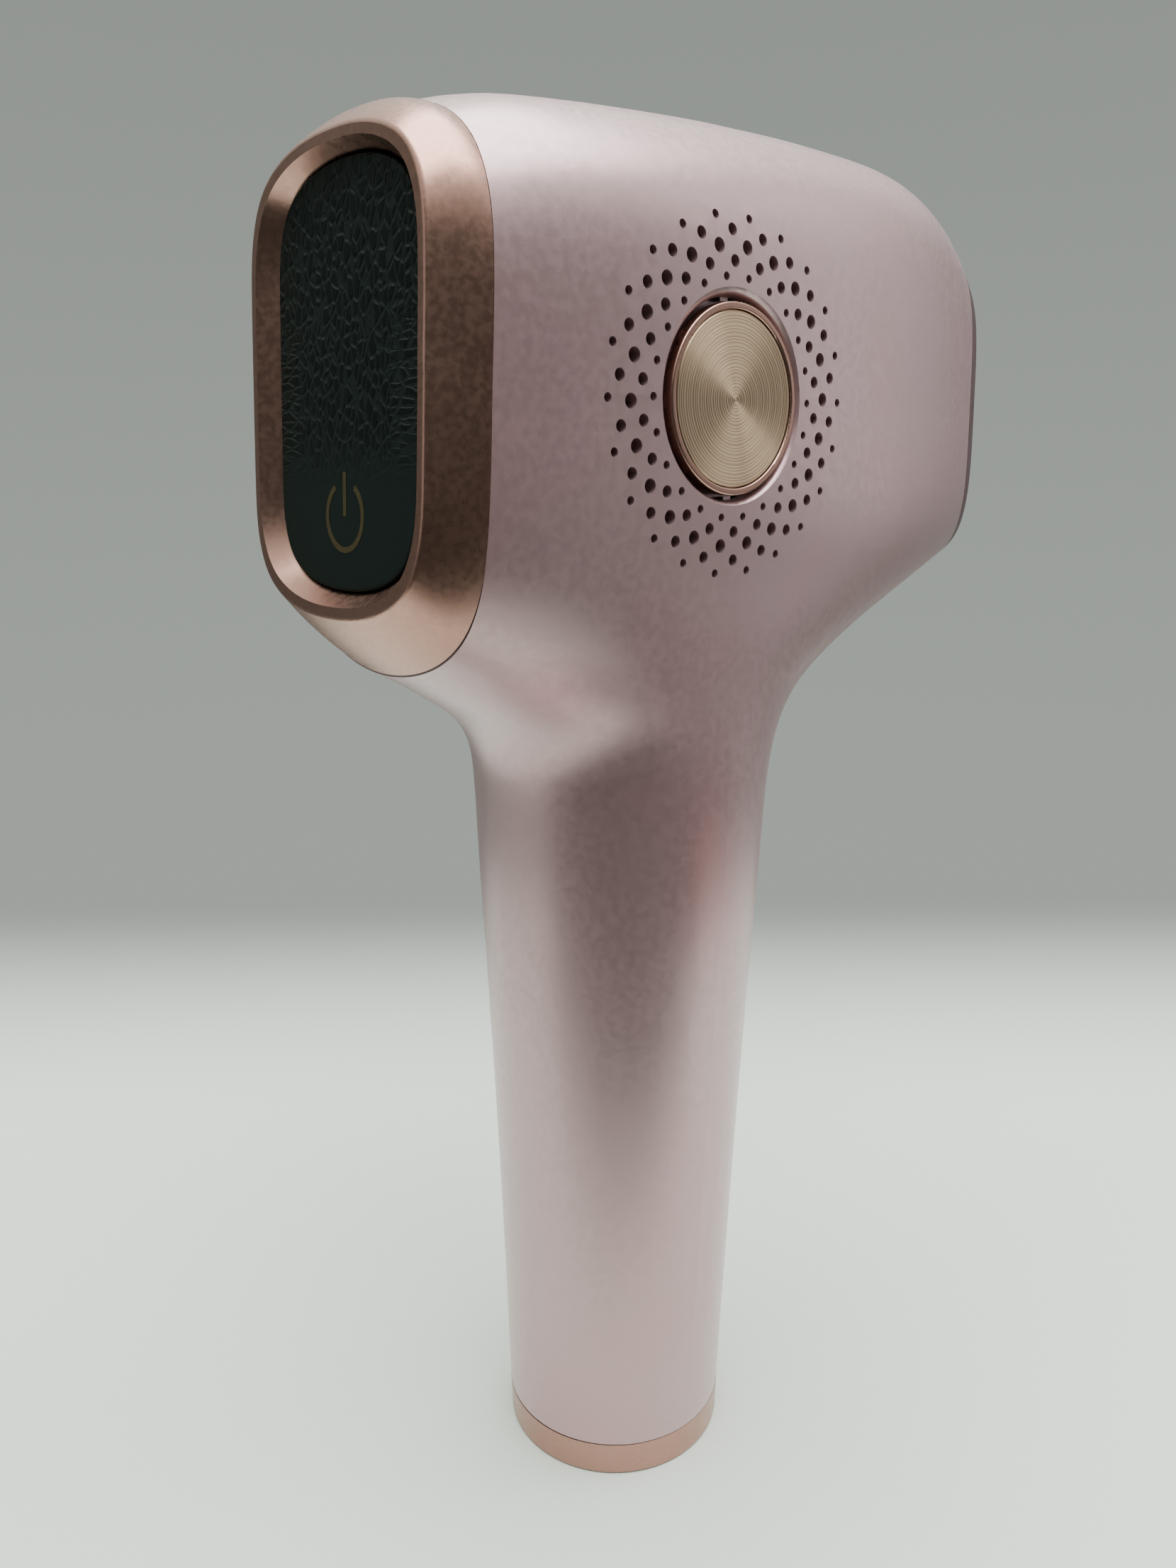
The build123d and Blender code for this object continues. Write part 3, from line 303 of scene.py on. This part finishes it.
def clear_glass(name, colour, rough=0.04, noise_scale=300.0):
    """Polished glass with a trace of waviness."""
    look = Look(name, Transmission_Weight=1.0, IOR=1.46)
    look.colour(look.mix(look.noise(noise_scale, 2.0), colour, tuple(min(1, c * 1.06) for c in colour[:3]) + (1,)))
    look.rough(rough)
    look.normal(look.bump(look.noise(noise_scale, 2.0), 0.000004, 0.4))
    return look.material


def board():
    """Circuit board: green lacquer over copper tracks."""
    look = Look("circuit_board", Specular_IOR_Level=0.5)
    tracks = look.add("ShaderNodeTexBrick")
    look.feed(tracks.inputs["Vector"], look.scaled(430.0, 430.0, 430.0))
    tracks.inputs["Mortar Size"].default_value = 0.08
    look.colour(look.mix(tracks.outputs["Fac"], (0.012, 0.085, 0.040, 1), (0.035, 0.17, 0.085, 1)))
    look.rough(look.span(look.noise(800.0, 3.0), 0.3, 0.7, 0.28, 0.42))
    look.normal(look.bump(tracks.outputs["Fac"], 0.00004, 0.6))
    return look.material


def winding():
    """Lacquered copper wire wound close, with painted shade in the grooves between turns."""
    look = Look("copper_winding", Metallic=0.9, Coat_Weight=0.5)
    turns = look.math("SINE", look.math("MULTIPLY", look.split(look.place)[2], 2 * math.pi / (0.3 * MM)))
    # painted shade: darker in the grooves between turns, lighter on their crests
    look.colour(look.mix(look.span(turns, -1.0, 1.0), (0.22, 0.075, 0.03, 1), (0.52, 0.21, 0.10, 1)))
    look.rough(0.3)
    look.normal(look.bump(turns, 0.00008, 0.9))
    return look.material


def give(material, *names):
    """Give CAD nodes one material."""
    for name in names:
        data = nodes[name].data
        data.materials.clear()
        data.materials.append(material)


shell_paint = pearl_paint()
trim = rose_metal()
give(shell_paint, "main_housing")
give(rose_metal("button_rose", 0.34), "flash_button")
give(trim, "bezel_frame", "base_cap", "disc_ring_right", "disc_ring_left")
give(panel_black(), "display_window")
give(gold_print(), "power_icon")
give(spun_metal(), "disc_insert_right", "disc_insert_left")
give(woven_mesh(), "vent_filter_right", "vent_filter_left")
give(flash_rim(), "flash_frame")
give(steel("contact_metal", (0.62, 0.60, 0.58, 1)), "contact_plate")
give(clear_glass("amber_glass", (0.86, 0.42, 0.16, 1)), "filter_glass")
give(moulded("silicone", (0.02, 0.02, 0.02, 1), 0.6), "window_gasket")
give(steel("sensor_metal", (0.78, 0.77, 0.75, 1)), "skin_sensors")
give(moulded("heatproof_white", (0.78, 0.76, 0.70, 1), 0.55), "lamp_holder")
give(steel("reflector_metal", (0.88, 0.88, 0.88, 1)), "reflector")
give(clear_glass("quartz", (0.95, 0.97, 1.0, 1)), "xenon_lamp")
give(steel(), "lamp_terminals", "touch_spring", "fan_shaft", "fan_screws", "cap_screws", "jack_pin", "button_spring")
give(steel("sink_metal", (0.60, 0.61, 0.62, 1)), "heat_sink")
give(winding(), "fan_stator", "trigger_coil")
give(steel("bronze", (0.50, 0.33, 0.16, 1)), "fan_bearing")
give(moulded("fan_black", (0.022, 0.022, 0.025, 1), 0.45), "fan_frame", "fan_rotor")
give(moulded("natural_grey", (0.42, 0.41, 0.39, 1), 0.5), "inner_frame", "capacitor_clip")
give(board(), "display_board", "main_board", "button_board")
give(moulded("led_cap", (0.82, 0.80, 0.66, 1), 0.4), "display_leds")
give(moulded("sleeve", (0.020, 0.024, 0.06, 1), 0.25), "main_capacitor")
give(moulded("ferrite", (0.05, 0.05, 0.052, 1), 0.6, 0.3), "charging_transformer")
give(moulded("component_black", (0.018, 0.018, 0.018, 1), 0.4), "power_transistor", "trigger_switch", "switch_plunger")
give(moulded("socket_black", (0.015, 0.015, 0.016, 1), 0.4), "dc_jack")


# ------------------------------------------------------------------ floor, lights and camera
# horizontal direction from the camera past the object
BACK = (-math.sin(CAMERA_HEADING), math.cos(CAMERA_HEADING), 0.0)


def pale_floor():
    """A wide sheet, pale round the object and passing into the grey-green of the surroundings."""
    bpy.ops.mesh.primitive_circle_add(vertices=96, radius=3.0, fill_type="NGON", location=(0, 0, 0))
    sheet = bpy.context.object
    sheet.name = "floor"
    look = Look("floor_paper", Roughness=0.55, Specular_IOR_Level=0.25)
    grain = look.noise(900.0, 4.0)
    away = look.vector("LENGTH", look.place)
    behind = look.vector("DOT_PRODUCT", look.place, BACK)
    pale = look.mix(look.span(grain, 0.3, 0.7, 0.0, 0.25), FLOOR_PALE, (0.70, 0.75, 0.69, 1))
    look.colour(pale)
    look.normal(look.bump(grain, 0.00002, 0.25))
    # far out the sheet gives way to the surroundings
    clear = look.add("ShaderNodeBsdfTransparent")
    fade = look.add("ShaderNodeMixShader")
    edge = look.math("MAXIMUM", look.span(behind, 0.09, 0.25), look.span(behind, -0.14, -0.045, 1.0, 0.0))
    edge = look.math("MAXIMUM", edge, look.span(away, 0.19, 0.36))
    look.feed(fade.inputs["Fac"], edge)
    look.feed(fade.inputs[1], look.shader.outputs[0])
    look.feed(fade.inputs[2], clear.outputs[0])
    look.feed(look.tree.nodes["Material Output"].inputs["Surface"], fade.outputs[0])
    sheet.data.materials.append(look.material)


def soft_light(name, place, target, size, power, colour=(1, 1, 1)):
    """A square soft box that looks at a point."""
    data = bpy.data.lights.new(name, "AREA")
    data.shape = "RECTANGLE"
    data.size, data.size_y = size
    data.energy = power
    data.color = colour
    light = bpy.data.objects.new(name, data)
    bpy.context.scene.collection.objects.link(light)
    light.location = place
    light.rotation_mode = "QUATERNION"
    light.rotation_quaternion = (Vector(target) - Vector(place)).to_track_quat("-Z", "Y")
    return light


def surroundings():
    """Grey-green surroundings. What the object mirrors is a bright ceiling and a dark room on one side."""
    world = bpy.data.worlds.new("surroundings")
    bpy.context.scene.world = world
    world.use_nodes = True
    tree = world.node_tree

    def add(kind, *values, **settings):
        node = tree.nodes.new(kind)
        for key, value in settings.items():
            setattr(node, key, value)
        for socket, value in zip(node.inputs, values):
            if isinstance(value, bpy.types.NodeSocket):
                tree.links.new(value, socket)
            elif value is not None:
                socket.default_value = value
        return node

    def span(value, low, high, to_low, to_high):
        return add("ShaderNodeMapRange", value, low, high, to_low, to_high,
                   interpolation_type="SMOOTHSTEP").outputs["Result"]

    way = tree.nodes.new("ShaderNodeTexCoord").outputs["Generated"]
    up = add("ShaderNodeSeparateXYZ", way).outputs["Z"]
    toward = add("ShaderNodeVectorMath", way, DARK_SIDE, operation="DOT_PRODUCT").outputs["Value"]
    round_about = span(toward, -0.1, 0.65, 0.50, 0.22)
    ceiling = span(up, 0.25, 0.75, 0.0, 3.4)
    mirrored = add("ShaderNodeMath", round_about, ceiling, operation="ADD").outputs[0]
    seen = span(up, -0.30, 0.45, 1.16, 0.90)
    direct = add("ShaderNodeLightPath").outputs["Is Camera Ray"]
    level = add("ShaderNodeMix", direct, None, mirrored, seen, data_type="FLOAT").outputs["Result"]
    background = tree.nodes["Background"]
    background.inputs["Color"].default_value = WALL_GREY
    tree.links.new(level, background.inputs["Strength"])


def seen_camera():
    """The camera at the photographed angle."""
    data = bpy.data.cameras.new("camera")
    data.lens = CAMERA_LENS
    data.sensor_width = CAMERA_SENSOR
    data.clip_start = 0.01
    camera = bpy.data.objects.new("camera", data)
    bpy.context.scene.collection.objects.link(camera)
    turn = Matrix.Rotation(CAMERA_HEADING, 4, "Z")
    tilt = Matrix.Rotation(math.pi / 2 - CAMERA_TILT, 4, "X")
    roll = Matrix.Rotation(CAMERA_ROLL, 4, "Z")
    camera.matrix_world = Matrix.Translation(CAMERA_PLACE) @ turn @ tilt @ roll
    bpy.context.scene.camera = camera


pale_floor()
surroundings()
soft_light("overhead", (0.06, 0.02, 0.60), (0.0, 0.01, 0.12), (0.50, 0.50), 6.2)
soft_light("flash_side", (0.30, 0.48, 0.30), (0.0, 0.02, 0.10), (0.22, 0.45), 0.35)
soft_light("display_side", (-0.10, -0.50, 0.26), (0.0, -0.02, 0.12), (0.22, 0.40), 0.15)
seen_camera()
